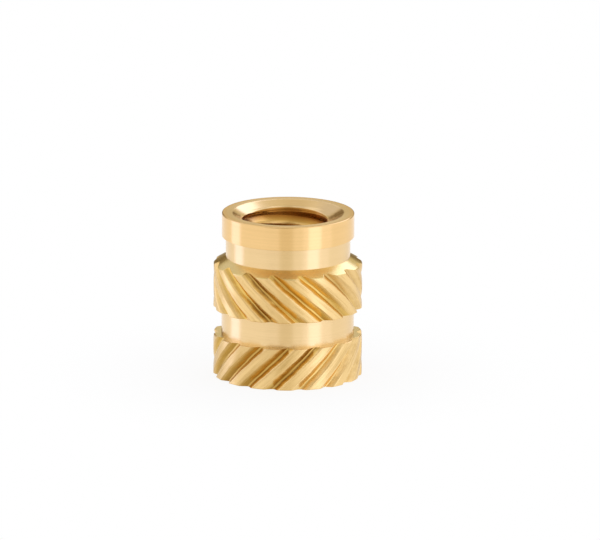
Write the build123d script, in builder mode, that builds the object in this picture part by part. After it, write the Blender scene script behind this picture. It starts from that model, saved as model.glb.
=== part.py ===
"""A press-in insert nut for plastic: one turned brass bush with two diagonally knurled
bands and a threaded bore, standing on its lower end.

The axis is Z, and the origin is the centre of the lower end face. Lengths are in
millimetres and angles in degrees. From the bottom up the bush has a lower knurled band,
a plain waist, an upper knurled band with a tapered shoulder, a plain neck and a smooth
collar, which goes into the plastic first. The two knurls lean opposite ways, so that the
nut can neither turn nor pull out. The bore is drawn at the crest of its internal thread.
"""

import os
from math import pi, radians, tan

from build123d import *

# Diameter over the knurls, and how deep the plain stretches lie below it
knurl_diameter = 3.2
waist_depth = 0.175
neck_depth = 0.26
collar_depth = 0.175

# Heights of the stretches, from the bottom up
lower_band_height = 0.91
waist_height = 0.57
upper_band_height = 0.97
shoulder_height = 0.15
neck_height = 0.45
collar_height = 0.51

# Bore at the crest of the thread, and how far its countersinks widen it all round
bore_diameter = 1.6
top_countersink_width = 0.4
bottom_countersink_width = 0.25
countersink_angle = 120.0

# Break on each sharp edge that the turning leaves
edge_break = 0.025

# Knurl: grooves with a narrow floor, a steep lower flank and a shallower upper flank.
# A flank's angle is from the groove's depth, and a knurl's angle is from the nut's axis.
groove_count = 16
groove_depth = 0.11
groove_floor = 0.05
steep_flank_angle = 36.0
shallow_flank_angle = 46.0
lower_knurl_angle = 47.5
upper_knurl_angle = 50.0

# Where a groove leaves its band's lower edge, from the X axis
lower_start_angle = 10.1
upper_start_angle = 8.6

# How far the knurling tool stands out of the surface, and runs past a band's ends
tool_stand_out = 0.03
tool_run_out = 0.06

# Radii of the turned stretches
knurl_radius = knurl_diameter / 2
waist_radius = knurl_radius - waist_depth
neck_radius = knurl_radius - neck_depth
collar_radius = knurl_radius - collar_depth
bore_radius = bore_diameter / 2

# Levels of the shoulders along the axis
lower_band_top = lower_band_height
upper_band_bottom = lower_band_top + waist_height
upper_band_top = upper_band_bottom + upper_band_height
shoulder_top = upper_band_top + shoulder_height
neck_top = shoulder_top + neck_height
collar_top = neck_top + collar_height


def countersink_depth(width):
    """Depth of a countersink, from its mouth down to the wall of the bore."""
    return width / tan(radians(countersink_angle / 2))


def flank_reach(flank_angle):
    """How far a groove's flank spreads sideways, from its floor's middle to its tool's top."""
    return groove_floor / 2 + (groove_depth + tool_stand_out) * tan(radians(flank_angle))


def groove_tool(band_bottom, band_top, knurl_angle, start_angle, lefthand):
    """The solid that cuts one groove of a band, on a helix at the knurl's diameter."""
    lead = 2 * pi * knurl_radius / tan(radians(knurl_angle))
    up = 1 if lefthand else -1
    with BuildPart() as tool:
        with BuildLine() as path:
            Helix(
                pitch=lead,
                height=band_top - band_bottom + 2 * tool_run_out,
                radius=knurl_radius,
                center=(0, 0, band_bottom - tool_run_out),
                lefthand=lefthand,
            )
        with BuildSketch(Plane(origin=path.line @ 0, x_dir=(1, 0, 0), z_dir=path.line % 0)):
            with BuildLine():
                Polyline(
                    (-groove_depth, -up * groove_floor / 2),
                    (-groove_depth, up * groove_floor / 2),
                    (tool_stand_out, up * flank_reach(shallow_flank_angle)),
                    (tool_stand_out, -up * flank_reach(steep_flank_angle)),
                    close=True,
                )
            make_face()
        sweep(path=path.line, is_frenet=True)
    return tool.part.rotate(Axis.Z, start_angle + up * 360 * tool_run_out / lead)


lower_groove = groove_tool(0, lower_band_top, lower_knurl_angle, lower_start_angle, lefthand=False)
upper_groove = groove_tool(
    upper_band_bottom, shoulder_top, upper_knurl_angle, upper_start_angle, lefthand=True
)

with BuildPart() as insert_nut:
    # The blank, turned from bar, bored and countersunk
    with BuildSketch(Plane.XZ):
        with BuildLine():
            Polyline(
                (bore_radius + bottom_countersink_width, 0),
                (knurl_radius, 0),
                (knurl_radius, lower_band_top),
                (waist_radius, lower_band_top),
                (waist_radius, upper_band_bottom),
                (knurl_radius, upper_band_bottom),
                (knurl_radius, upper_band_top),
                (neck_radius, shoulder_top),
                (neck_radius, neck_top),
                (collar_radius, neck_top),
                (collar_radius, collar_top),
                (bore_radius + top_countersink_width, collar_top),
                (bore_radius, collar_top - countersink_depth(top_countersink_width)),
                (bore_radius, countersink_depth(bottom_countersink_width)),
                close=True,
            )
        make_face()
    revolve(axis=Axis.Z)

    # Every outward edge is broken, apart from the two at the crest of the thread
    rims = insert_nut.edges().filter_by(GeomType.CIRCLE)
    sharp = rims.filter_by(lambda rim: not rim.is_interior and rim.radius > bore_radius + edge_break)
    chamfer(sharp, edge_break)

    # The two knurls, which lean opposite ways
    with PolarLocations(0, groove_count):
        add(lower_groove, mode=Mode.SUBTRACT)
        add(upper_groove, mode=Mode.SUBTRACT)

insert_nut.part.label = "insert_nut"

os.makedirs("parts", exist_ok=True)
export_step(insert_nut.part, "parts/insert_nut.step")
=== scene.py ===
"""The looks of the press-in insert nut: one brass bush with its knurls, its thread and its
finish, on a plain floor under soft light.

Lengths are in metres, in the same frame as the solid part: Z is the nut's axis, and the
origin is the centre of its lower face.
"""

from math import cos, pi, prod, radians, sin, tan

import bmesh
import bpy
import numpy as np
from bpy.props import FloatProperty, FloatVectorProperty, IntProperty, PointerProperty
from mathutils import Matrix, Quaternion, Vector


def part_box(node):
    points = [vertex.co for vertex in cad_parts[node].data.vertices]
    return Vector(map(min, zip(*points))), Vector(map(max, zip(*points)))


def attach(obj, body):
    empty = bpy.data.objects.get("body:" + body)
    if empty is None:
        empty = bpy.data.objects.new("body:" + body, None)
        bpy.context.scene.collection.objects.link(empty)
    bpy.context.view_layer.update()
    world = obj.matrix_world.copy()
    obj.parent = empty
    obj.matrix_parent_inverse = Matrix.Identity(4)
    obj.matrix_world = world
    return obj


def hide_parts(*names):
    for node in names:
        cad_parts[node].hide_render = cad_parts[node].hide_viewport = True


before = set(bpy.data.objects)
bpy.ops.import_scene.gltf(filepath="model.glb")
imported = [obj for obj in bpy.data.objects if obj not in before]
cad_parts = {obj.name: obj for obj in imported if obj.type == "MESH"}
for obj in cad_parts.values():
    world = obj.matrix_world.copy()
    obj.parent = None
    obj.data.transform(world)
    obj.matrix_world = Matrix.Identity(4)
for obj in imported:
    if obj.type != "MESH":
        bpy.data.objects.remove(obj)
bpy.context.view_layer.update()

bl_info = {
    "name": "Press-in insert nut",
    "version": (1, 0, 0),
    "blender": (4, 5, 0),
    "location": "3D View > Sidebar > Insert Nut",
    "description": "Makes a knurled brass insert nut, and a plain stage for it",
    "category": "Object",
}

NUT_LOW, NUT_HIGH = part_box("insert_nut")

MM = 0.001
TURN = 2 * pi

# A row of points this close to a corner holds the shading of the flat beside it
HOLD = 0.006 * MM
# Its most, as a share of the flat's length
MOST_HOLD = 0.2
# Points nearer than this are one
SAME_POINT = 1e-7
# Edges sharper than this are shaded as edges
CREASE = radians(38)
# The floor lies this far under the nut, so that their faces don't share a plane
FLOOR_GAP = 0.002 * MM
FLOOR_RADIUS, FLOOR_SEGMENTS = 0.6, 96
# From where and to where the camera sees
CAMERA_RANGE = 10 * MM, 10


# Settings


def number(name, description, default, **settings):
    return FloatProperty(name=name, description=description, default=default, **settings)


def length(name, description, default):
    return number(name, description, default, min=0, precision=6, subtype="DISTANCE", unit="LENGTH")


def angle(name, description, degrees):
    return number(name, description, radians(degrees), subtype="ANGLE", unit="ROTATION")


def share(name, description, default):
    return number(name, description, default, min=0, max=1, subtype="FACTOR")


def light(name, description, default, **limits):
    named = {"name": name, "description": description, "default": default}
    return FloatVectorProperty(min=0, size=3, subtype="COLOR", **named, **limits)


def colour(name, description, default):
    return light(name, description, default, max=1)


class NutSizes(bpy.types.PropertyGroup):
    """Sizes of the nut."""

    knurl_diameter: length("Knurl diameter", "Over the lands of the knurls", NUT_HIGH.x - NUT_LOW.x)
    waist_depth: length("Waist depth", "From the knurls down to the waist", 0.175 * MM)
    neck_depth: length("Neck depth", "From the knurls down to the neck", 0.26 * MM)
    collar_depth: length("Collar depth", "From the knurls down to the collar", 0.175 * MM)
    lower_band_height: length("Lower band height", "Height of the lower knurl", 0.91 * MM)
    waist_height: length("Waist height", "Height between the knurls", 0.57 * MM)
    upper_band_height: length("Upper band height", "Height of the upper knurl to the taper", 0.97 * MM)
    shoulder_height: length("Shoulder height", "Height of the taper over the upper knurl", 0.15 * MM)
    neck_height: length("Neck height", "Height of the plain stretch below the collar", 0.45 * MM)
    height: length("Height", "Height of the whole nut", NUT_HIGH.z - NUT_LOW.z)
    edge_break: length("Edge break", "Rounding of most outward edges", 0.025 * MM)
    collar_foot_break: length("Collar foot", "Rounding of the collar's lower edge", 0.006 * MM)
    bore_diameter: length("Bore diameter", "At the crest of the thread", 1.6 * MM)
    thread_diameter: length("Thread diameter", "At the root of the thread", 1.94 * MM)
    thread_pitch: length("Thread pitch", "From one turn of the thread to the next", 0.4 * MM)
    crest_rounding: length("Crest rounding", "Fall of a crest's sides from its middle", 0.03 * MM)
    thread_start: angle("Thread start", "Where a root meets the lower face, from the X axis", 10)
    run_in_diameter: length("Run-in diameter", "Of the short run-in over the thread", 1.71 * MM)
    run_in_offset: length("Run-in offset", "How far the run-in lies off the axis", 0.12 * MM)
    run_in_angle: angle("Run-in angle", "Which way the run-in lies off the axis, from X", 98)
    top_countersink_width: length("Top countersink", "How far it widens the bore all round", 0.4 * MM)
    bottom_countersink_width: length("Bottom countersink", "How far it widens the bore", 0.25 * MM)
    countersink_angle: angle("Countersink angle", "Between opposite walls of a countersink", 120)

    def levels(self):
        """Tops of the stretches under the collar, from the bottom up."""
        bands = (self.lower_band_height, self.waist_height, self.upper_band_height)
        return np.cumsum([*bands, self.shoulder_height, self.neck_height]).tolist()


class KnurlSettings(bpy.types.PropertyGroup):
    """Form of the knurls' grooves."""

    groove_count: IntProperty(name="Grooves", description="Grooves round each knurl", default=16, min=3)
    groove_depth: length("Groove depth", "From the lands down to a groove's floor", 0.11 * MM)
    groove_floor: length("Groove floor", "Width of a groove's floor", 0.05 * MM)
    steep_flank_angle: angle("Steep flank", "Lean of a groove's lower flank", 36)
    shallow_flank_angle: angle("Shallow flank", "Lean of a groove's upper flank", 46)
    lower_knurl_angle: angle("Lower knurl angle", "Slant of the lower grooves", 47.5)
    upper_knurl_angle: angle("Upper knurl angle", "Slant of the upper grooves", 50)
    lower_start_angle: angle("Lower start", "Where a lower groove starts, from the X axis", 10.1)
    upper_start_angle: angle("Upper start", "Where an upper groove starts, from the X axis", 8.6)
    steep_edge: length("Steep edge", "Rounding where a land meets a steep flank", 0.018 * MM)
    shallow_edge: length("Shallow edge", "Rounding where a land meets a shallow flank", 0.006 * MM)
    floor_corner: length("Floor corner", "Rounding along the sides of a groove's floor", 0.012 * MM)
    depth_spread: share("Depth spread", "How much the grooves differ in depth", 0.05)
    wander: length("Wander", "How far a groove strays sideways", 0.005 * MM)
    crown: length("Crown", "How far a land's sides lie below its middle", 0.002 * MM)


class BrassSettings(bpy.types.PropertyGroup):
    """Finish of the brass."""

    turned_colour: colour("Turned colour", "Brass on the fine turned stretches", (0.905, 0.654, 0.342))
    collar_colour: colour("Collar colour", "Brass on the smooth collar", (0.923, 0.612, 0.273))
    # Paler than the turned brass: a painted lighter reflection on the ledge's top
    ledge_colour: colour("Ledge colour", "Brass on the ledge over the lower knurl", (0.93, 0.76, 0.45))
    shoulder_colour: colour("Shoulder colour", "Brass on the tapered shoulder", (0.90, 0.70, 0.31))
    land_colour: colour("Land colour", "Brass on the lands of the knurls", (0.95, 0.67, 0.30))
    # Partly painted shade: the brass grows darker and more saturated the deeper a groove is
    groove_colour: colour("Groove colour", "Brass down in the grooves", (0.86, 0.56, 0.15))
    # Painted shade: dark brown down in the thread, darkest at its root
    thread_colour: colour("Thread colour", "Brass down in the thread", (0.42, 0.18, 0.03))
    # Grime and painted shade: darker brass along the grooves' floors, with painted shade on their
    # shallow flanks and on some lands
    grime_colour: colour("Grime colour", "Dull brass down in the grooves", (0.26, 0.11, 0.02))
    grime: share("Grime", "How much the grooves are dulled", 0.9)
    turned_roughness: share("Turned roughness", "Roughness of the turned stretches", 0.25)
    collar_roughness: share("Collar roughness", "Roughness of the collar", 0.21)
    knurl_roughness: share("Knurl roughness", "Roughness of the knurls' lands", 0.36)
    groove_roughness: share("Groove roughness", "Roughness of the burnished grooves", 0.15)
    brushing: share("Brushing", "How much the tool marks stretch the reflections", 0.75)
    mark_depth: length("Mark depth", "Depth of the tool marks", 0.0006 * MM)
    mark_colour: colour("Mark colour", "Brass in the tool marks", (0.55, 0.34, 0.1))


class StageSettings(bpy.types.PropertyGroup):
    """The floor, the light and the camera."""

    floor_colour: colour("Floor colour", "The floor under its own light", (0.98, 0.98, 0.98))
    floor_clear: share("Floor clearness", "How much of the floor beside the nut is background", 0.88)
    background: colour("Background", "What lies behind the nut", (1, 1, 1))
    ambient: number("Ambient", "Strength of the light from all round", 0.8, min=0)
    shade: colour("Shade", "The room where it is darkest, and warm", (0.50, 0.39, 0.10))
    front_shade: share("Front shade", "Shade straight ahead of the nut", 0.3)
    low_shade: share("Low shade", "Shade well below the nut", 0.6)
    high_shade: share("High shade", "Shade over the nut", 0.5)
    back_shade: share("Back shade", "Shade behind the nut, a little above it", 0.72)
    dark: colour("Dark", "Dark things in the room", (0.16, 0.10, 0.03))
    skyline: share("Skyline", "Darkness behind the nut, at its own level", 0.8)
    lens_dark: share("Lens dark", "Darkness round the camera", 0.6)
    side_card: share("Side card", "Darkness of a card at each side", 0.25)
    top_card: share("Top card", "Darkness of a card high up ahead", 0.4)
    high_rear_card: share("High rear card", "Darkness of a card high up behind", 0.35)
    rear_card: share("Rear card", "Darkness of two low cards behind", 0.95)
    left_strip: light("Left strip", "Light of the narrow lamp at the left", (0.35, 0.42, 0.9))
    right_box: light("Right box", "Light of the soft lamp at the right", (0.3, 0.35, 0.55))
    back_box: light("Back box", "Light of the soft lamp behind, at the right", (0.62, 0.72, 1.2))
    view_height: angle("View height", "How steeply the camera looks down", 13.9)
    view_distance: length("View distance", "From the camera to where it looks", 0.4)
    view_side: length("View side", "How far right of the axis the camera looks", 0.260 * MM)
    view_level: length("View level", "Height that the camera looks at", 2.28 * MM)
    view_roll: angle("View roll", "How far the camera leans to its left", 0.28)
    lens: number("Lens", "Focal length", 1115, min=1, subtype="DISTANCE_CAMERA")


# The bush, as rings of points round the axis


def eased_in(depth, width):
    """A depth from zero up, with the corner at zero rounded over a width."""
    rounded = (depth + width) ** 2 / (4 * width)
    return np.where(depth > width, depth, np.where(depth < -width, 0.0, rounded))


class Band:
    """One knurled band: a row of slanting grooves, each a little different.

    A point's place across a groove is measured square to it, from the middle of its floor
    towards the shallow flank. hand is 1 where the grooves climb as a right-hand screw does,
    and finishes are rows like those of Bush.LOWER_GROOVES.
    """

    # Points over a steep edge, a floor's corner and a shallow edge, and over the land
    STEEP_EDGE = np.array([-0.030, -0.014, -0.006, 0.002, 0.012, 0.030]) * MM
    CORNER = np.array([-0.010, 0.0, 0.010]) * MM
    SHALLOW_EDGE = np.array([-0.030, -0.010, -0.003, 0.004, 0.012, 0.030]) * MM
    LAND_POINTS = 4
    # Sways along a groove, each a share of its range and a rate in radians per millimetre
    SIDE_SWAYS = (0.6, 19), (0.4, 47)
    DEPTH_SWAY = 0.04, 11
    # Shares of the height between which the grime and painted shade change from a groove's bottom's to
    # its top's
    GRIME_AND_SHADE_TURN = 0.21, 0.51
    # How far the grime and painted shade reach from a floor's corners, their share on the floor and
    # the painted shade's share on the flank, and how deep the flank's is full
    GRIME_AND_SHADE_REACH = 0.013 * MM
    FLOOR_GRIME, FLANK_GRIME, FLANK_FULL = 0.45, 0.5, 0.5

    def __init__(self, sizes, knurl, bottom, top, slant, start, hand, finishes, draws):
        self.knurl = knurl
        self.count = knurl.groove_count
        self.finishes = [np.resize(row, self.count)[:, None] / 100 for row in finishes]
        self.radius = sizes.knurl_diameter / 2
        self.bottom, self.height = bottom, top - bottom
        self.start = start
        self.twist = hand * tan(slant) / self.radius
        self.spread = -hand * self.radius * cos(slant)
        self.pitch = self.radius * cos(slant) * TURN / self.count
        self.half_floor = knurl.groove_floor / 2
        self.steep_side = -self.half_floor - knurl.groove_depth * tan(knurl.steep_flank_angle)
        self.shallow_side = self.half_floor + knurl.groove_depth * tan(knurl.shallow_flank_angle)
        self.places = self.columns()[::-hand]
        self.depths = knurl.groove_depth * (1 + knurl.depth_spread * draws.uniform(-1, 1, self.count))
        self.shifts = knurl.wander * draws.uniform(-1, 1, self.count)
        self.tilts = draws.uniform(0, 1, self.count)
        self.waves = draws.uniform(0, TURN, (len(self.SIDE_SWAYS) + 1, self.count))[:, :, None]

    def columns(self):
        """Places of the points across one groove and its land, from the steep side on."""
        grooved = [
            self.steep_side + self.STEEP_EDGE,
            -self.half_floor + self.CORNER,
            [0.0],
            self.half_floor + self.CORNER,
            [(self.half_floor + self.shallow_side) / 2],
            self.shallow_side + self.SHALLOW_EDGE,
        ]
        first, last = grooved[0][0] + self.pitch, grooved[-1][-1]
        land = np.linspace(last, first, self.LAND_POINTS + 2)[1:-1]
        return np.concatenate([*grooved, land])

    def turn_on(self, grooves):
        """Starts the columns some grooves further on, and keeps each finish where it is."""
        self.start += grooves * TURN / self.count
        self.finishes = [np.roll(row, -grooves, axis=0) for row in self.finishes]

    def angles(self, height):
        """Angle of each column of points at a height, or at a height for each."""
        grooves = np.arange(self.count)[:, None] * TURN / self.count
        offsets = (grooves + self.places / self.spread).ravel()
        return self.start + self.twist * (height - self.bottom) + offsets

    def across(self):
        """Millimetres to each column across all the grooves, for the tool marks."""
        return (np.arange(self.count)[:, None] * self.pitch + self.places).ravel() / MM

    def placed(self, height):
        """Each column's height, in millimetres, and its true place across its groove there."""
        run = np.broadcast_to(height, self.count * len(self.places)).reshape(self.count, -1) / MM
        sways = zip(self.SIDE_SWAYS, self.waves)
        strayed = sum(part * np.sin(rate * run + wave) for (part, rate), wave in sways)
        return run, self.places - self.shifts[:, None] - self.knurl.wander * strayed

    def depth(self, height):
        """How far each column lies below the lands at a height."""
        knurl = self.knurl
        run, place = self.placed(height)
        sway, rate = self.DEPTH_SWAY
        deepest = self.depths[:, None] * (1 + sway * np.sin(rate * run + self.waves[-1]))

        def steep(place):
            inside = place - self.steep_side
            return eased_in(inside / tan(knurl.steep_flank_angle), knurl.steep_edge)

        def shallow(place):
            inside = self.shallow_side - place
            return eased_in(inside / tan(knurl.shallow_flank_angle), knurl.shallow_edge)

        cut = deepest - eased_in(deepest - np.minimum(steep(place), shallow(place)), knurl.floor_corner)
        # The edges of the next grooves fall within this one's land
        beside = np.maximum(steep(place - self.pitch), shallow(place + self.pitch))
        land = self.pitch - self.shallow_side + self.steep_side
        over = np.clip((place - self.shallow_side) % self.pitch / land, 0, 1)
        crown = knurl.crown * ((2 * over - 1) ** 2 + self.tilts[:, None] * over)
        return np.maximum.reduce([cut, beside, crown]).ravel()

    def finish(self, height, sunk):
        """How bright each column's cut is, and how much grime and painted shade darken it, from how
        deep it lies, as shares.

        The grime and painted shade are most along both sides of a groove's floor; painted shade also
        lies on the shallow flank and on the land above.
        """
        run, place = self.placed(height)
        sunk = sunk.reshape(self.count, -1)
        bottom, top, flank, land, polish = self.finishes
        start, end = self.GRIME_AND_SHADE_TURN
        turned = np.clip(((run * MM - self.bottom) / self.height - start) / (end - start), 0, 1)
        corner = np.exp(-(((abs(place) - self.half_floor) / self.GRIME_AND_SHADE_REACH) ** 2))
        low = (bottom + turned * (top - bottom)) * (corner + self.FLOOR_GRIME * (sunk**3 - corner))
        side = np.clip(sunk / self.FLANK_FULL, 0, 1) * np.clip(place / self.half_floor, 0, 1)
        grime = np.maximum.reduce([low, flank * self.FLANK_GRIME * side, land * (1 - sunk)])
        return (sunk * polish).ravel(), grime.ravel()


def bent(before, corner, after, size, count=4):
    """Points of a rounded corner, from it and its two neighbours, as (radius, height)."""
    before, corner, after = np.array(before), np.array(corner), np.array(after)
    start = corner + (before - corner) / np.linalg.norm(before - corner) * size
    end = corner + (after - corner) / np.linalg.norm(after - corner) * size
    steps = np.linspace(0, 1, count + 1)[:, None]
    return (1 - steps) ** 2 * start + 2 * steps * (1 - steps) * corner + steps**2 * end


def straight(start, end, count):
    """Points between two ends, with one close to each end to hold the shading."""
    start, end = np.array(start), np.array(end)
    hold = min(HOLD / np.linalg.norm(end - start), MOST_HOLD)
    steps = np.concatenate([[hold], np.linspace(0, 1, count + 2)[1:-1], [1 - hold]])[:, None]
    return start + steps * (end - start)


class Bush:
    """The nut's whole skin, ring by ring from the lower mouth outwards, up and in."""

    # What a point carries for the finish
    MARKS = ("across", "knurled", "sunk", "grime", "ledge", "shoulder")
    # For each groove, by angle and in per cent: how much grime and painted shade darken it at its
    # band's bottom and at its top, how much painted shade lies on its shallow flank and on the land
    # above that, and how bright its cut is, which also sets how much of its partly painted shade shows
    LOWER_GROOVES = (
        (20, 30, 20, 30, 40, 30, 40, 30, 80, 90, 90, 90, 10, 0, 10, 10),
        (20, 30, 30, 40, 30, 40, 30, 20, 70, 80, 80, 100, 10, 10, 0, 10),
        (20, 20, 30, 40, 30, 50, 40, 20, 60, 100, 100, 60, 10, 0, 0, 10),
        (0, 0, 10, 10, 0, 10, 0, 10, 20, 20, 10, 0, 0, 0, 0, 0),
        (100, 100, 100, 100, 100, 100, 100, 100, 100, 100, 100, 100, 40, 30, 30, 50),
    )
    UPPER_GROOVES = (
        (10, 20, 30, 40, 30, 50, 30, 40, 20, 10, 10, 100, 40, 40, 40, 20),
        (40, 20, 30, 30, 40, 30, 30, 30, 20, 10, 10, 10, 100, 60, 30, 60),
        (10, 20, 30, 40, 30, 40, 20, 20, 10, 15, 10, 20, 20, 20, 35, 25),
        (0, 0, 10, 0, 10, 0, 0, 10, 0, 0, 0, 0, 0, 0, 0, 0),
        (30, 60, 100, 100, 100, 100, 100, 100, 50, 50, 60, 100, 100, 100, 80, 40),
    )
    # Rows of points up a knurl and up a plain wall, and between the collar's corners
    BAND_ROWS, WALL_ROWS, COLLAR_ROWS = 28, 4, 3
    # Where rings lie over the lower face, over a ledge, up to the shoulder and over it
    FACE_SHARES = (0.0, 0.02, 0.5, 0.98)
    LEDGE_SHARES = (0.08, 0.9)
    BROW_SHARES = (0.5, 0.8, 1.0)
    SHOULDER_SHARES = (0.02, 0.045, 0.083, 0.1, 0.2, 0.4, 0.6, 0.8, 0.98)
    # Points round the shoulder's brow, and how many edge breaks below it rows stay level
    BROW_POINTS, BROW_DROP = 6, 3
    # Rings where the thread breaks out through a countersink, and the rounding of its edge,
    # with the rates at which that grows from the first ring and falls to the last
    TOP_STEP, TOP_ROUNDING, TOP_RATES = 0.007 * MM, 0.05 * MM, (8, 4)
    BOTTOM_RINGS, BOTTOM_ROUNDING, BOTTOM_RATES = 16, 0.025 * MM, (4, 4)
    # How sunk the thread's crest looks, which is how much of the thread's painted shade it takes, where
    # its root is 1, and how soon beyond its edge
    CREST_SUNK, SUNK_EDGE = 0.35, 0.015 * MM
    # Where the root ends and the crest starts, from a root's middle, as shares of the pitch
    ROOT_SHARE, CREST_SHARE = 0.074, 0.31
    # Points from there to the crest's middle, and a row that holds the flank's shading
    CREST_POINTS, FLANK_HOLD = 3, 0.012
    # Turns besides those that fill the bore, so that the end ones lie outside it
    SPARE_TURNS = 4
    SEED = 5

    def __init__(self, sizes, knurl):
        self.sizes = sizes
        self.rings = []
        draws = np.random.default_rng(self.SEED)
        self.outside = sizes.knurl_diameter / 2
        self.waist = self.outside - sizes.waist_depth
        self.neck = self.outside - sizes.neck_depth
        self.collar = self.outside - sizes.collar_depth
        self.crest = sizes.bore_diameter / 2
        self.root = sizes.thread_diameter / 2
        self.top_mouth = self.crest + sizes.top_countersink_width
        self.bottom_mouth = self.crest + sizes.bottom_countersink_width
        self.slope = tan(sizes.countersink_angle / 2)
        levels = sizes.levels()
        self.lower_top, self.upper_bottom, self.upper_top, self.shoulder_top, self.neck_top = levels

        lower = 0.0, self.lower_top, knurl.lower_knurl_angle, knurl.lower_start_angle, 1
        self.lower = Band(sizes, knurl, *lower, self.LOWER_GROOVES, draws)
        ends = self.upper_bottom, self.shoulder_top
        upper = *ends, knurl.upper_knurl_angle, knurl.upper_start_angle, -1
        self.upper = Band(sizes, knurl, *upper, self.UPPER_GROOVES, draws)
        # The upper band's columns start at the groove nearest to where the lower band's end
        gap = self.lower.angles(self.lower_top)[0] - self.upper.angles(self.upper_bottom)[0]
        self.upper.turn_on(round(gap * knurl.groove_count / TURN))
        self.columns = len(self.lower.across())
        top = self.upper.angles(self.shoulder_top)
        self.even = top[0] + np.arange(self.columns) * TURN / self.columns
        self.place_run_in()

    def place_run_in(self):
        """Radius of the run-in at each column's angle, and the level that it starts from."""
        sizes = self.sizes
        turned = (self.even - sizes.run_in_angle + pi) % TURN - pi
        across = sizes.run_in_offset * np.sin(turned)
        self.run_in = sizes.run_in_offset * np.cos(turned)
        self.run_in += np.sqrt((sizes.run_in_diameter / 2) ** 2 - across**2)
        lift = (sizes.run_in_angle - sizes.thread_start) / TURN
        turns = np.floor(self.top_level(self.root) / sizes.thread_pitch - lift)
        self.run_in_level = sizes.thread_pitch * (turns + lift + turned / TURN)

    def ring(self, radius, height, angles, **marks):
        values = (radius, height, angles, *(marks.get(name, 0.0) for name in self.MARKS))
        self.rings.append(np.array([np.broadcast_to(value, self.columns) for value in values]))

    def banded(self, band, points):
        """Rings round a knurled band at the points' heights, of at most their radii."""
        for radius, height in points:
            depth = band.depth(height)
            sunk, grime = band.finish(height, np.clip(depth / band.knurl.groove_depth, 0, 1))
            marks = {"across": band.across(), "knurled": 1.0, "sunk": sunk, "grime": grime}
            self.ring(np.minimum(radius, band.radius - depth), height, band.angles(height), **marks)

    def across_face(self, band, inner, height, angles, shares, **marks):
        """Rings across a band's flat end, from a radius and its angles outwards."""
        rim = self.outside - np.maximum(self.sizes.edge_break, band.depth(height))
        for step in shares:
            turned = angles + step * (band.angles(height) - angles)
            self.ring(inner + step * (rim - inner), height, turned, **marks)

    def plain(self, points, angles):
        """Round rings through points, given as (radius, height)."""
        for radius, height in points:
            self.ring(radius, height, angles(height) if callable(angles) else angles)

    def make_lower_knurl(self):
        edge, top = self.sizes.edge_break, self.lower_top
        inner = self.bottom_mouth + edge
        self.across_face(self.lower, inner, 0.0, self.even, self.FACE_SHARES)
        path = (inner, 0), (self.outside, 0), (self.outside, top), (self.waist, top)
        levels = np.linspace(edge, top - edge, self.BAND_ROWS + 2)[1:-1]
        wall = [(self.outside, level) for level in levels]
        self.banded(self.lower, [*bent(*path[:3], edge), *wall, *bent(*path[1:], edge)])

    def make_waist(self):
        """The waist, with the ledge below it and the underside of the band above it."""
        foot, top = self.lower_top, self.upper_bottom
        low, high = self.lower.angles(foot), self.upper.angles(top)

        def turning(height):
            return low + (height - foot) / (top - foot) * (high - low)

        self.across_face(self.lower, self.waist, foot, low, self.LEDGE_SHARES[::-1], ledge=1.0)
        ends = (self.waist, foot), (self.waist, top)
        self.plain([ends[0], *straight(*ends, self.WALL_ROWS), ends[1]], turning)
        self.across_face(self.upper, self.waist, top, high, self.LEDGE_SHARES)

    def make_upper_knurl(self):
        """The upper knurl, and the shoulder down to the neck."""
        edge, bottom, top = self.sizes.edge_break, self.upper_bottom, self.upper_top
        foot = (self.neck, self.shoulder_top)
        path = (self.waist, bottom), (self.outside, bottom), (self.outside, top), foot
        last_level = top - self.BROW_DROP * edge
        levels = np.linspace(bottom + edge, last_level, self.BAND_ROWS + 1)[1:]
        wall = [(self.outside, level) for level in levels]
        self.banded(self.upper, [*bent(*path[:3], edge), *wall])

        # Each column ends where it comes out through the shoulder
        radii, levels = np.vstack([bent(*path[1:], edge, self.BROW_POINTS), foot]).T
        reach = self.outside - self.upper.depth(top)
        ends = np.interp(reach, radii[::-1], levels[::-1])
        rest = [last_level + step * (ends - last_level) for step in self.BROW_SHARES]
        self.banded(self.upper, [(self.outside, level) for level in rest])
        reach = np.interp(ends, levels, radii)
        self.rings[-1][0] = reach
        for step in self.SHOULDER_SHARES:
            radius = reach + step * (self.neck - reach)
            height = np.interp(radius, radii[::-1], levels[::-1])
            self.ring(radius, height, self.upper.angles(height), shoulder=1.0)

    def make_top(self):
        """The neck and the collar, with the countersink down to the thread."""
        edge, top = self.sizes.edge_break, self.sizes.height
        start = self.upper.angles(self.shoulder_top)
        foot, under = self.shoulder_top, self.neck_top
        widest = self.root + self.TOP_ROUNDING

        def evening(height):
            return start + np.clip((height - foot) / (under - foot), 0, 1) * (self.even - start)

        wall = straight((self.neck, foot), (self.neck, under), self.WALL_ROWS)
        self.plain([(self.neck, foot), *wall], evening)
        last = (widest, self.top_level(widest))
        rim = (self.collar, under), (self.collar, top), (self.top_mouth, top)
        path = (self.neck, under), *rim, last
        before = path[0]
        self.plain([before], self.even)
        for place, size in enumerate((self.sizes.collar_foot_break, edge, edge)):
            curve = bent(*path[place : place + 3], size)
            self.plain([*straight(before, curve[0], self.COLLAR_ROWS), *curve], self.even)
            before = curve[-1]
        self.plain(straight(before, last, self.WALL_ROWS), self.even)

        end = self.top_level(self.crest)
        levels = np.linspace(last[1], end, round((last[1] - end) / self.TOP_STEP))
        cones = self.crest + (levels - end) * self.slope
        self.break_out(cones, levels, self.TOP_ROUNDING, self.TOP_RATES)

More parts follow.
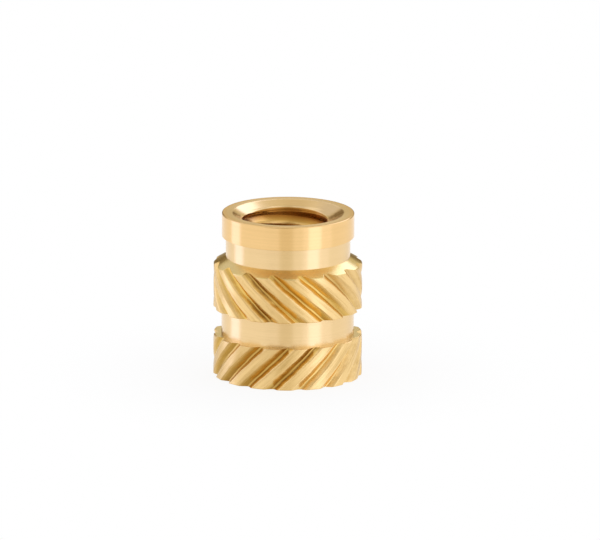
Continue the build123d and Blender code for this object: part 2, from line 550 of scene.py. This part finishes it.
    def make_bottom_mouth(self):
        """The lower countersink, from the bore's wall down to the lower face."""
        foot = (self.root, (self.bottom_mouth - self.root) / self.slope)
        end = (self.bottom_mouth - self.crest) / self.slope
        levels = np.linspace(end, foot[1], self.BOTTOM_RINGS)
        cones = self.bottom_mouth - levels * self.slope
        self.break_out(cones, levels, self.BOTTOM_ROUNDING, self.BOTTOM_RATES)
        curve = bent(foot, (self.bottom_mouth, 0), (self.outside, 0), self.sizes.edge_break)
        self.plain(curve[:-1], self.even)

    def break_out(self, cones, levels, rounding, rates):
        """Rings where the thread cuts through a countersink, given by its radii and levels."""
        grow, fall = rates
        for cone, height, step in zip(cones, levels, np.linspace(0, 1, len(levels))):
            thread = self.thread_radius(height)
            rounded = rounding * min(1, grow * step, fall * (1 - step))
            radius = (cone + thread + np.hypot(cone - thread, rounded)) / 2
            within = np.clip((thread - cone) / self.SUNK_EDGE, 0, 1)
            self.ring(radius, height, self.even, sunk=within * self.thread_sunk(radius))

    def top_level(self, radius):
        """Height at which the top countersink has a radius."""
        return self.sizes.height - (self.top_mouth - radius) / self.slope

    def thread_radius(self, height):
        """Radius of the thread at each column's angle, at a height."""
        pitch = self.sizes.thread_pitch
        climb = height - pitch * (self.even - self.sizes.thread_start) / TURN
        off_root = abs((climb + pitch / 2) % pitch - pitch / 2) / pitch
        shoulder = self.crest + self.sizes.crest_rounding
        flank = (off_root - self.ROOT_SHARE) / (self.CREST_SHARE - self.ROOT_SHARE)
        crown = np.clip((off_root - self.CREST_SHARE) / (0.5 - self.CREST_SHARE), 0, 1)
        rounded = self.sizes.crest_rounding * (1 - (1 - crown) ** 2)
        thread = self.root - (self.root - shoulder) * np.clip(flank, 0, 1) - rounded
        return np.where(height > self.run_in_level, np.maximum(thread, self.run_in), thread)

    def thread_sunk(self, radius):
        """How far down in the thread a radius lies, from the crest's own share up to 1."""
        return self.CREST_SUNK + (1 - self.CREST_SUNK) * (radius - self.crest) / (self.root - self.crest)

    def make_thread(self, bottom, top):
        """Rings that climb with the thread, cut off level at the bottom and the top.

        Returns how many rings make one turn.
        """
        pitch = self.sizes.thread_pitch
        crown = np.linspace(self.CREST_SHARE, 0.5, self.CREST_POINTS)
        edges = np.array([self.ROOT_SHARE, self.CREST_SHARE - self.FLANK_HOLD, *crown])
        phases = np.concatenate([-edges[-2::-1], edges]) * pitch
        turns = int((top - bottom) / pitch) + self.SPARE_TURNS
        lift = pitch * (self.even - self.sizes.thread_start) / TURN
        base = np.floor((bottom - lift[0]) / pitch - 1) * pitch
        starts = (base + np.arange(turns)[:, None] * pitch + phases).ravel()
        for height in np.clip(starts[:, None] + lift, bottom, top):
            radius = self.thread_radius(height)
            self.ring(radius, height, self.even, sunk=self.thread_sunk(radius))
        return len(phases)


def grid_faces(rows, columns, first, turn_rows=0):
    """Faces between rows of points, closed round the axis.

    turn_rows is how many rows higher a row comes back to after a full turn.
    """
    row, column = np.meshgrid(np.arange(rows - 1), np.arange(columns), indexing="ij")
    wraps = column == columns - 1
    beside = np.where(wraps, 0, column + 1)
    shift = np.where(wraps, turn_rows, 0)
    corners = [
        row * columns + column,
        np.minimum(row + shift, rows - 1) * columns + beside,
        np.minimum(row + 1 + shift, rows - 1) * columns + beside,
        (row + 1) * columns + column,
    ]
    return first + np.stack(corners, axis=-1).reshape(-1, 4)


def bush_mesh(sizes, knurl):
    """The nut's mesh, one closed skin, with the marks that the finish follows."""
    bush = Bush(sizes, knurl)
    bush.make_bottom_mouth()
    bush.make_lower_knurl()
    bush.make_waist()
    bush.make_upper_knurl()
    bush.make_top()
    level_rings = len(bush.rings)
    turn_rings = bush.make_thread(bush.rings[0][1][0], bush.rings[-1][1][0])

    rings, columns = np.array(bush.rings), bush.columns
    radius, height, turned, *marks = rings.transpose(1, 0, 2).reshape(rings.shape[1], -1)
    points = np.stack([radius * np.cos(turned), radius * np.sin(turned), height], axis=1)
    level_faces = grid_faces(level_rings, columns, 0)
    thread_faces = grid_faces(len(rings) - level_rings, columns, level_rings * columns, turn_rings)

    mesh = bpy.data.meshes.new("insert_nut_skin")
    mesh.from_pydata(points, [], np.concatenate([level_faces, thread_faces]))
    for name, values in zip(Bush.MARKS, marks):
        mark = mesh.attributes.new(name, "FLOAT", "POINT")
        mark.data.foreach_set("value", values.astype(np.float32))
    skin = bmesh.new()
    skin.from_mesh(mesh)
    bmesh.ops.remove_doubles(skin, verts=skin.verts, dist=SAME_POINT)
    bmesh.ops.recalc_face_normals(skin, faces=skin.faces)
    open_edges = sum(not edge.is_manifold for edge in skin.edges)
    skin.to_mesh(mesh)
    skin.free()
    if open_edges:
        raise RuntimeError(f"the nut's skin has {open_edges} open edges")
    mesh.shade_smooth()
    mesh.set_sharp_from_angle(angle=CREASE)
    return mesh


# Shading


class Shade:
    """A shader value. Arithmetic on it adds the Math nodes."""

    def __init__(self, tree, socket):
        self.tree = tree
        self.socket = socket

    def math(self, operation, *values, **settings):
        settings = {"operation": operation, **settings}
        return self.tree.value("ShaderNodeMath", 0, settings, dict(enumerate(values)))

    def __add__(self, other):
        return self.math("ADD", self, other)

    __radd__ = __add__

    def __sub__(self, other):
        return self.math("SUBTRACT", self, other)

    def __rsub__(self, other):
        return self.math("SUBTRACT", other, self)

    def __mul__(self, other):
        return self.math("MULTIPLY", self, other)

    __rmul__ = __mul__

    def __truediv__(self, other):
        return self.math("DIVIDE", self, other)

    def __rtruediv__(self, other):
        return self.math("DIVIDE", other, self)

    def __pow__(self, other):
        return self.math("POWER", self, other)

    def __rpow__(self, other):
        return self.math("POWER", other, self)

    def __abs__(self):
        return self.math("ABSOLUTE", self)

    def clamped(self):
        """The value, held between 0 and 1."""
        return self.math("ADD", self, 0.0, use_clamp=True)

    def stepped(self, low, high):
        """0 below low and 1 above high, and smooth between them."""
        bounds = {"Value": self, "From Min": low, "From Max": high}
        smooth = {"interpolation_type": "SMOOTHSTEP"}
        return self.tree.value("ShaderNodeMapRange", "Result", smooth, bounds)

    def within(self, low, high, soft):
        """1 between low and high, with soft edges."""
        return self.stepped(low - soft, low + soft) * (1 - self.stepped(high - soft, high + soft))


def opaque(value):
    """A colour with full opacity, or a link as it is."""
    return value if isinstance(value, bpy.types.NodeSocket) else (*value, 1.0)


class Tree:
    """A node tree that is being filled."""

    def __init__(self, owner):
        owner.use_nodes = True
        self.nodes = owner.node_tree.nodes
        self.links = owner.node_tree.links
        self.nodes.clear()

    def node(self, kind, settings=None, inputs=None):
        """Adds a node: its settings first, then its sockets' values or links."""
        made = self.nodes.new(kind)
        for name, value in (settings or {}).items():
            setattr(made, name, value)
        for name, value in (inputs or {}).items():
            source = value.socket if isinstance(value, Shade) else value
            if isinstance(source, bpy.types.NodeSocket):
                self.links.new(source, made.inputs[name])
            else:
                made.inputs[name].default_value = source
        return made

    def value(self, kind, output, settings=None, inputs=None):
        """Adds a node and gives one of its outputs as a shader value."""
        return Shade(self, self.node(kind, settings, inputs).outputs[output])

    def place(self, coordinates):
        """The three parts of a kind of texture coordinates."""
        where = self.node("ShaderNodeTexCoord").outputs[coordinates]
        parts = self.node("ShaderNodeSeparateXYZ", None, {"Vector": where})
        return [Shade(self, part) for part in parts.outputs]

    def mark(self, name):
        """One of the marks on the nut's skin."""
        return self.value("ShaderNodeAttribute", "Fac", {"attribute_name": name})

    def noise(self, x, y, z, detail, roughness):
        """Noise between 0 and 1 at a place of three values."""
        place = self.value("ShaderNodeCombineXYZ", "Vector", None, {"X": x, "Y": y, "Z": z})
        values = {"Vector": place, "Scale": 1.0, "Detail": detail, "Roughness": roughness}
        return self.value("ShaderNodeTexNoise", "Fac", {"noise_dimensions": "3D"}, values)

    def blend(self, factor, first, second):
        """A colour between two."""
        inputs = {0: factor, 6: opaque(first), 7: opaque(second)}
        return self.node("ShaderNodeMix", {"data_type": "RGBA"}, inputs).outputs[2]


# Rates of the brass's noise per millimetre: along a turned stretch and round it, then across
# a groove and along it, and every way
RING_RATE, RING_DRIFT = 26, 0.35
BROAD_RATE, BROAD_DRIFT = 7, 0.3
STREAK_RATE, STREAK_DRIFT = 14, 1.2
GRAIN_RATE = 22
# Bounds that sharpen the streaks
STREAK_STEP = 0.3, 0.7
# Radii, in millimetres, between which the collar's finish starts and the thread's painted shade ends
COLLAR_FINISH = 1.3, 1.36
THREAD_FINISH = 1.01, 1.06
# Half the soft edge of the collar's finish at its foot, in millimetres
FOOT_SOFT = 0.01
# How deep a groove is where its darker colour, partly painted shade, starts, and where it is full
GROOVE_TINT = 0.1, 0.6
# Contrast of the fine and broad rings and the grain, what the knurls add to streaks and
# grain, and how much mark colour lies all over
RING_CONTRAST, BROAD_CONTRAST, GRAIN_CONTRAST = 0.16, 0.10, 0.06
MORE_STREAKS, MORE_GRAIN, WEAR = 0.6, 0.4, 0.04
# Relief of the broad rings and the grain, where the fine rings' is 1, and what the collar lacks
BROAD_RELIEF, GRAIN_RELIEF, COLLAR_SMOOTHING = 0.6, 0.25, 0.5
# How much the marks change the roughness
MARK_ROUGHNESS = 0.08


def brass_material(finish, sizes):
    """Turned and knurled brass, marked by its tools, with painted shade in its grooves and thread and a
    painted lighter ledge.
    """
    material = bpy.data.materials.new("turned_brass")
    tree = Tree(material)
    x, y, z = (part / MM for part in tree.place("Object"))
    radius = (x * x + y * y) ** 0.5
    across, knurled, sunk, grime, ledge, shoulder = (tree.mark(name) for name in Bush.MARKS)
    on_knurl = knurled.clamped()

    # Fine rings left by the turning tool, and streaks along the knurls' grooves
    along = z - radius
    place = along * RING_RATE, x * RING_DRIFT, y * RING_DRIFT
    rings = tree.noise(*place, detail=2.0, roughness=0.6)
    place = along * BROAD_RATE, x * BROAD_DRIFT, y * BROAD_DRIFT
    broad_rings = tree.noise(*place, detail=1.0, roughness=0.5)
    place = across * STREAK_RATE, z * STREAK_DRIFT, 0.0
    streaks = tree.noise(*place, detail=3.0, roughness=0.7).stepped(*STREAK_STEP)
    grain = tree.noise(*(part * GRAIN_RATE for part in (x, y, z)), detail=2.0, roughness=0.6)
    marks = rings * (1 - on_knurl) + streaks * on_knurl

    foot = sizes.levels()[-1] / MM
    collared = z.stepped(foot - FOOT_SOFT, foot + FOOT_SOFT) * radius.stepped(*COLLAR_FINISH)
    tint = tree.blend(collared, finish.turned_colour, finish.collar_colour)
    # The ledge's paler brass is a painted lighter reflection
    tint = tree.blend(ledge.clamped(), tint, finish.ledge_colour)
    tint = tree.blend(shoulder.clamped(), tint, finish.shoulder_colour)
    tint = tree.blend(on_knurl, tint, finish.land_colour)
    # Partly painted shade: darker, more saturated brass deep in the grooves
    tint = tree.blend(sunk.stepped(*GROOVE_TINT), tint, finish.groove_colour)
    # Grime and painted shade along the grooves' floors, and painted shade on their shallow flanks and
    # lands
    tint = tree.blend(grime * finish.grime, tint, finish.grime_colour)
    # Painted shade down in the thread, darker the deeper a point lies
    bored = 1 - radius.stepped(*THREAD_FINISH)
    tint = tree.blend(bored * sunk.stepped(0.0, 1.0), tint, finish.thread_colour)
    shown = (
        (marks - 0.5) * (RING_CONTRAST + on_knurl * MORE_STREAKS)
        + (broad_rings - 0.5) * BROAD_CONTRAST
        + (grain - 0.5) * (GRAIN_CONTRAST + on_knurl * MORE_GRAIN)
        + WEAR
    )
    roughness = (
        finish.turned_roughness
        + collared * (finish.collar_roughness - finish.turned_roughness)
        + on_knurl * (finish.knurl_roughness - finish.turned_roughness)
        + sunk.clamped() * on_knurl * (finish.groove_roughness - finish.knurl_roughness)
        + (marks - 0.5) * MARK_ROUGHNESS
    )
    height = marks * (1 - collared * COLLAR_SMOOTHING) + broad_rings * BROAD_RELIEF
    relief = {"Distance": finish.mark_depth, "Height": height + grain * GRAIN_RELIEF}
    bump = tree.node("ShaderNodeBump", None, relief)
    polish = {
        "Base Color": tree.blend(shown, tint, finish.mark_colour),
        "Metallic": 1.0,
        "Roughness": roughness,
        "Anisotropic": finish.brushing,
        "Anisotropic Rotation": 0.25,
        "Normal": bump.outputs["Normal"],
    }
    surface = tree.node("ShaderNodeBsdfPrincipled", None, polish)
    tree.node("ShaderNodeOutputMaterial", None, {"Surface": surface.outputs[0]})
    return material


def seen_directly(tree):
    """Two values: 1 for rays from the camera, off a gloss or through glass, and 1 off a gloss."""
    path = tree.node("ShaderNodeLightPath")
    kinds = ("Is Camera Ray", "Is Glossy Ray", "Is Transmission Ray")
    camera, gloss, through = (Shade(tree, path.outputs[kind]) for kind in kinds)
    return (camera + gloss + through).clamped(), gloss


# Distances from the axis between which the floor fades into the background
FLOOR_FADE = 1.5 * MM, 6 * MM
# How fine the floor's mottle is, how much of it there is, and how light its spots are
MOTTLE_SCALE, MOTTLE, MOTTLE_LIGHT = 300.0, 0.04, 0.97


def floor_material(stage):
    """A pale floor that holds the nut's shadow and fades into the background."""
    material = bpy.data.materials.new("pale_floor")
    tree = Tree(material)
    where = tree.node("ShaderNodeTexCoord").outputs["Object"]
    distance = tree.value("ShaderNodeVectorMath", "Value", {"operation": "LENGTH"}, {0: where})
    spots = {"Vector": where, "Scale": MOTTLE_SCALE, "Detail": 2.0}
    mottle = tree.value("ShaderNodeTexNoise", "Fac", None, spots)
    spotted = [MOTTLE_LIGHT * value for value in stage.floor_colour]
    pale = tree.blend(mottle * MOTTLE, stage.floor_colour, spotted)
    direct, _ = seen_directly(tree)
    fade = distance.stepped(*FLOOR_FADE)
    clear = direct * (stage.floor_clear + (1 - stage.floor_clear) * fade)
    dull = {"Base Color": pale, "Roughness": 0.9, "Specular IOR Level": 0.0}
    matt = tree.node("ShaderNodeBsdfPrincipled", None, dull)
    bright = {"Color": opaque(stage.background), "Strength": 1.0}
    backdrop = tree.node("ShaderNodeEmission", None, bright)
    layers = {0: clear, 1: matt.outputs[0], 2: backdrop.outputs[0]}
    mixed = tree.node("ShaderNodeMixShader", None, layers)
    tree.node("ShaderNodeOutputMaterial", None, {"Surface": mixed.outputs[0]})
    return material


def pointing(bearing, rise):
    """Direction of a bearing from straight ahead, to the right, and a rise above level."""
    turned, raised = radians(bearing), radians(rise)
    return Vector((sin(turned) * cos(raised), -cos(turned) * cos(raised), sin(raised)))


def patch(way, bearing, rise, inner, outer):
    """1 round a direction up to an inner angle, and 0 outside an outer one."""
    near = sum(part * toward for part, toward in zip(way, pointing(bearing, rise)))
    return near.stepped(cos(radians(outer)), cos(radians(inner)))


def covered(shares):
    """How much several shares cover together."""
    return 1 - prod(1 - part for part in shares)


# Bearings of the shade ahead and of the lit side, with half their soft edges' width, and
# from straight behind where the rear ends, in degrees
FRONT = -15, 9, 4
LIT_SIDE = 50, 130, 15
REAR = 40, 60
# Sines of rises: where the low shade ends, and the other two's bounds and soft edges
LOW = -0.85, -0.4
BACK = 0.0, 0.40, 0.06
SKYLINE = -0.13, 0.09, 0.03
# Bearing, rise, and inner and outer angles of a patch in the room, in degrees: the shade over
# the nut, and dark things with their settings' names
HIGH = 180, 70, 14, 30
DARK_THINGS = (
    (6, 29, 8, 15, "lens_dark"),
    (-11, 21, 8, 15, "lens_dark"),
    (-28, 12, 8, 15, "lens_dark"),
    (76, 50, 10, 18, "side_card"),
    (-112, 30, 12, 22, "side_card"),
    (-40, 72, 8, 27, "top_card"),
    (-164, 13, 8, 11, "rear_card"),
    (-149, 38, 15, 16, "high_rear_card"),
    (169, 6, 3, 9, "rear_card"),
)


def fill_room(stage):
    """Light from all round: white but for warm shade, and for dark things that a gloss shows."""
    world = bpy.data.worlds.new("soft_room")
    bpy.context.scene.world = world
    tree = Tree(world)
    way = x, y, z = tree.place("Generated")
    direct, gloss = seen_directly(tree)
    ahead = x.math("ARCTAN2", x, y * -1.0)
    behind = abs(x.math("ARCTAN2", x, y))
    rear = 1 - behind.stepped(*map(radians, REAR))
    shades = (
        ahead.within(*map(radians, FRONT)) * stage.front_shade,
        (1 - z.stepped(*LOW)) * (1 - ahead.within(*map(radians, LIT_SIDE))) * stage.low_shade,
        patch(way, *HIGH) * stage.high_shade,
        rear * z.within(*BACK) * stage.back_shade,
    )
    darks = (
        rear * z.within(*SKYLINE) * stage.skyline,
        *(patch(way, *place) * getattr(stage, setting) for *place, setting in DARK_THINGS),
    )
    shaded = tree.blend(gloss * covered(shades), stage.background, stage.shade)
    shaded = tree.blend(gloss * covered(darks), shaded, stage.dark)
    strength = direct + (1 - direct) * stage.ambient
    shining = tree.node("ShaderNodeBackground", None, {"Color": shaded, "Strength": strength})
    tree.node("ShaderNodeOutputWorld", None, {"Surface": shining.outputs[0]})


# Each lamp's bearing, rise, width and height, in degrees from the nut, then its light's
# setting and how much of that it takes
LAMPS = {
    "left_strip": (-104, 3, 24, 70, "left_strip", 1.0),
    "right_box": (48, 3, 24, 70, "right_box", 1.0),
    "right_box_wide": (54, 3, 56, 70, "right_box", 1 / 3),
    "back_box": (150, 38, 34, 28, "back_box", 1.0),
}
LAMP_DISTANCE = 90 * MM


def look_at(name, data, aim, way, distance):
    """An object that looks at a point, from a direction and at a distance."""
    made = bpy.data.objects.new(name, data)
    made.location = aim + way * distance
    made.rotation_mode = "QUATERNION"
    made.rotation_quaternion = (-way).to_track_quat("-Z", "Y")
    bpy.context.scene.collection.objects.link(made)
    return made


def hang_lamp(name, bearing, rise, width, tall, glow):
    """A soft lamp that faces the nut. At a glow of 1 it is as bright as the room."""
    data = bpy.data.lights.new(name, "AREA")
    data.shape = "RECTANGLE"
    data.size = 2 * LAMP_DISTANCE * tan(radians(width) / 2)
    data.size_y = 2 * LAMP_DISTANCE * tan(radians(tall) / 2)
    brightest = max(glow)
    data.color = [value / brightest for value in glow]
    data.energy = brightest * pi * data.size * data.size_y
    middle = Vector((0, 0, (NUT_LOW.z + NUT_HIGH.z) / 2))
    lamp = look_at(name, data, middle, pointing(bearing, rise), LAMP_DISTANCE)
    lamp.visible_camera = False


def make_floor(stage):
    """A wide disc just under the nut, which reflections don't show."""
    mesh = bpy.data.meshes.new("floor")
    skin = bmesh.new()
    bmesh.ops.create_circle(skin, cap_ends=True, segments=FLOOR_SEGMENTS, radius=FLOOR_RADIUS)
    skin.to_mesh(mesh)
    skin.free()
    mesh.materials.append(floor_material(stage))
    floor = bpy.data.objects.new("floor", mesh)
    floor.location.z = -FLOOR_GAP
    floor.visible_glossy = False
    bpy.context.scene.collection.objects.link(floor)
    return floor


def place_camera(stage):
    """The camera, straight ahead of the nut and a little above it."""
    data = bpy.data.cameras.new("camera")
    data.lens = stage.lens
    data.clip_start, data.clip_end = CAMERA_RANGE
    aim = Vector((stage.view_side, 0, stage.view_level))
    back = Vector((0, -cos(stage.view_height), sin(stage.view_height)))
    camera = look_at("camera", data, aim, back, stage.view_distance)
    lean = Quaternion((0, 0, 1), stage.view_roll)
    camera.rotation_quaternion = camera.rotation_quaternion @ lean
    bpy.context.scene.camera = camera


# Operators and panel


class INSERTNUT_OT_bush(bpy.types.Operator):
    """Make the brass bush with its knurls and its thread"""

    bl_idname = "insertnut.bush"
    bl_label = "Make the Bush"

    def execute(self, context):
        scene = context.scene
        mesh = bush_mesh(scene.insertnut_sizes, scene.insertnut_knurl)
        mesh.materials.append(brass_material(scene.insertnut_brass, scene.insertnut_sizes))
        bush = bpy.data.objects.new("knurled_bush", mesh)
        scene.collection.objects.link(bush)
        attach(bush, "root")
        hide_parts("insert_nut")
        return {"FINISHED"}


class INSERTNUT_OT_stage(bpy.types.Operator):
    """Lay the floor, hang the lamps and place the camera"""

    bl_idname = "insertnut.stage"
    bl_label = "Set the Stage"

    def execute(self, context):
        stage = context.scene.insertnut_stage
        context.scene.view_settings.view_transform = "Standard"
        fill_room(stage)
        floor = make_floor(stage)
        for name, (*place, setting, part) in LAMPS.items():
            hang_lamp(name, *place, [part * value for value in getattr(stage, setting)])
        place_camera(stage)
        return {"FINISHED"}


class INSERTNUT_PT_panel(bpy.types.Panel):
    """Settings of the insert nut"""

    bl_idname = "INSERTNUT_PT_panel"
    bl_label = "Insert Nut"
    bl_space_type = "VIEW_3D"
    bl_region_type = "UI"
    bl_category = "Insert Nut"

    def draw(self, context):
        for name in SETTINGS:
            settings = getattr(context.scene, name)
            box = self.layout.box()
            box.label(text=settings.bl_rna.description)
            for field in settings.bl_rna.properties:
                if field.identifier not in {"rna_type", "name"}:
                    box.prop(settings, field.identifier)
            if name in BUTTONS:
                self.layout.operator(BUTTONS[name].bl_idname)


SETTINGS = {
    "insertnut_sizes": NutSizes,
    "insertnut_knurl": KnurlSettings,
    "insertnut_brass": BrassSettings,
    "insertnut_stage": StageSettings,
}
# The operators, by the settings that their buttons follow
BUTTONS = {"insertnut_brass": INSERTNUT_OT_bush, "insertnut_stage": INSERTNUT_OT_stage}
CLASSES = (*SETTINGS.values(), *BUTTONS.values(), INSERTNUT_PT_panel)


def register():
    for made in CLASSES:
        bpy.utils.register_class(made)
    for name, group in SETTINGS.items():
        setattr(bpy.types.Scene, name, PointerProperty(type=group))


def unregister():
    for name in SETTINGS:
        delattr(bpy.types.Scene, name)
    for made in reversed(CLASSES):
        bpy.utils.unregister_class(made)


def main():
    register()
    bpy.ops.insertnut.bush()
    bpy.ops.insertnut.stage()


if __name__ == "__main__":
    main()
